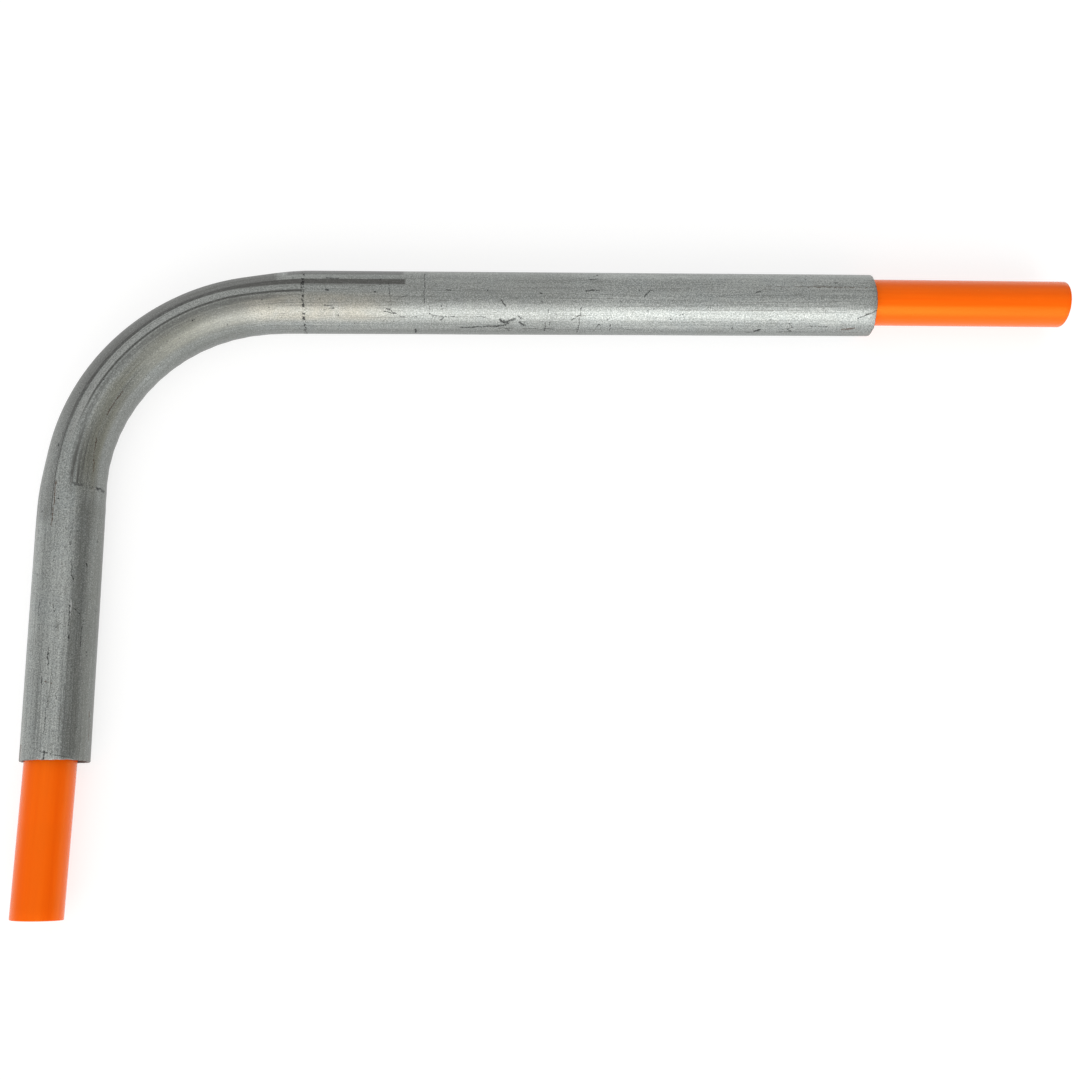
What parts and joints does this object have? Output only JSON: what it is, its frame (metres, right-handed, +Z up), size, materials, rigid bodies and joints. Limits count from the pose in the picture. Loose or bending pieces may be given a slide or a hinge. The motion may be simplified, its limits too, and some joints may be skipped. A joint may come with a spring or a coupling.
{
  "type": "bent conduit sleeve",
  "caption": "Light galvanised steel tube bent to a near right angle, with a springy plastic conduit threaded through it and standing out of both ends.",
  "frame": {"origin": "middle of the bottom of the object's box, as it lies flat", "axes": "+Z up, square to the plane of the bend; +X along the long leg towards its open end; the short leg runs along -Y"},
  "size_m": [0.4402, 0.2654, 0.0267],
  "materials": {
    "galvanised_steel": "galvanised, matt and streaked along the tube, with bending scuffs",
    "orange_plastic": "smooth extruded, semi-gloss"
  },
  "bodies": {
    "sleeve": {"steel_sleeve": "galvanised_steel"},
    "liner": {"liner_tube": "orange_plastic"}
  },
  "joints": [
    {"name": "liner_feed", "type": "slide", "parent": "sleeve", "child": "liner", "axis": [-0.0117, -0.9999, 0], "range_m": [0, 0.0015]}
  ]
}
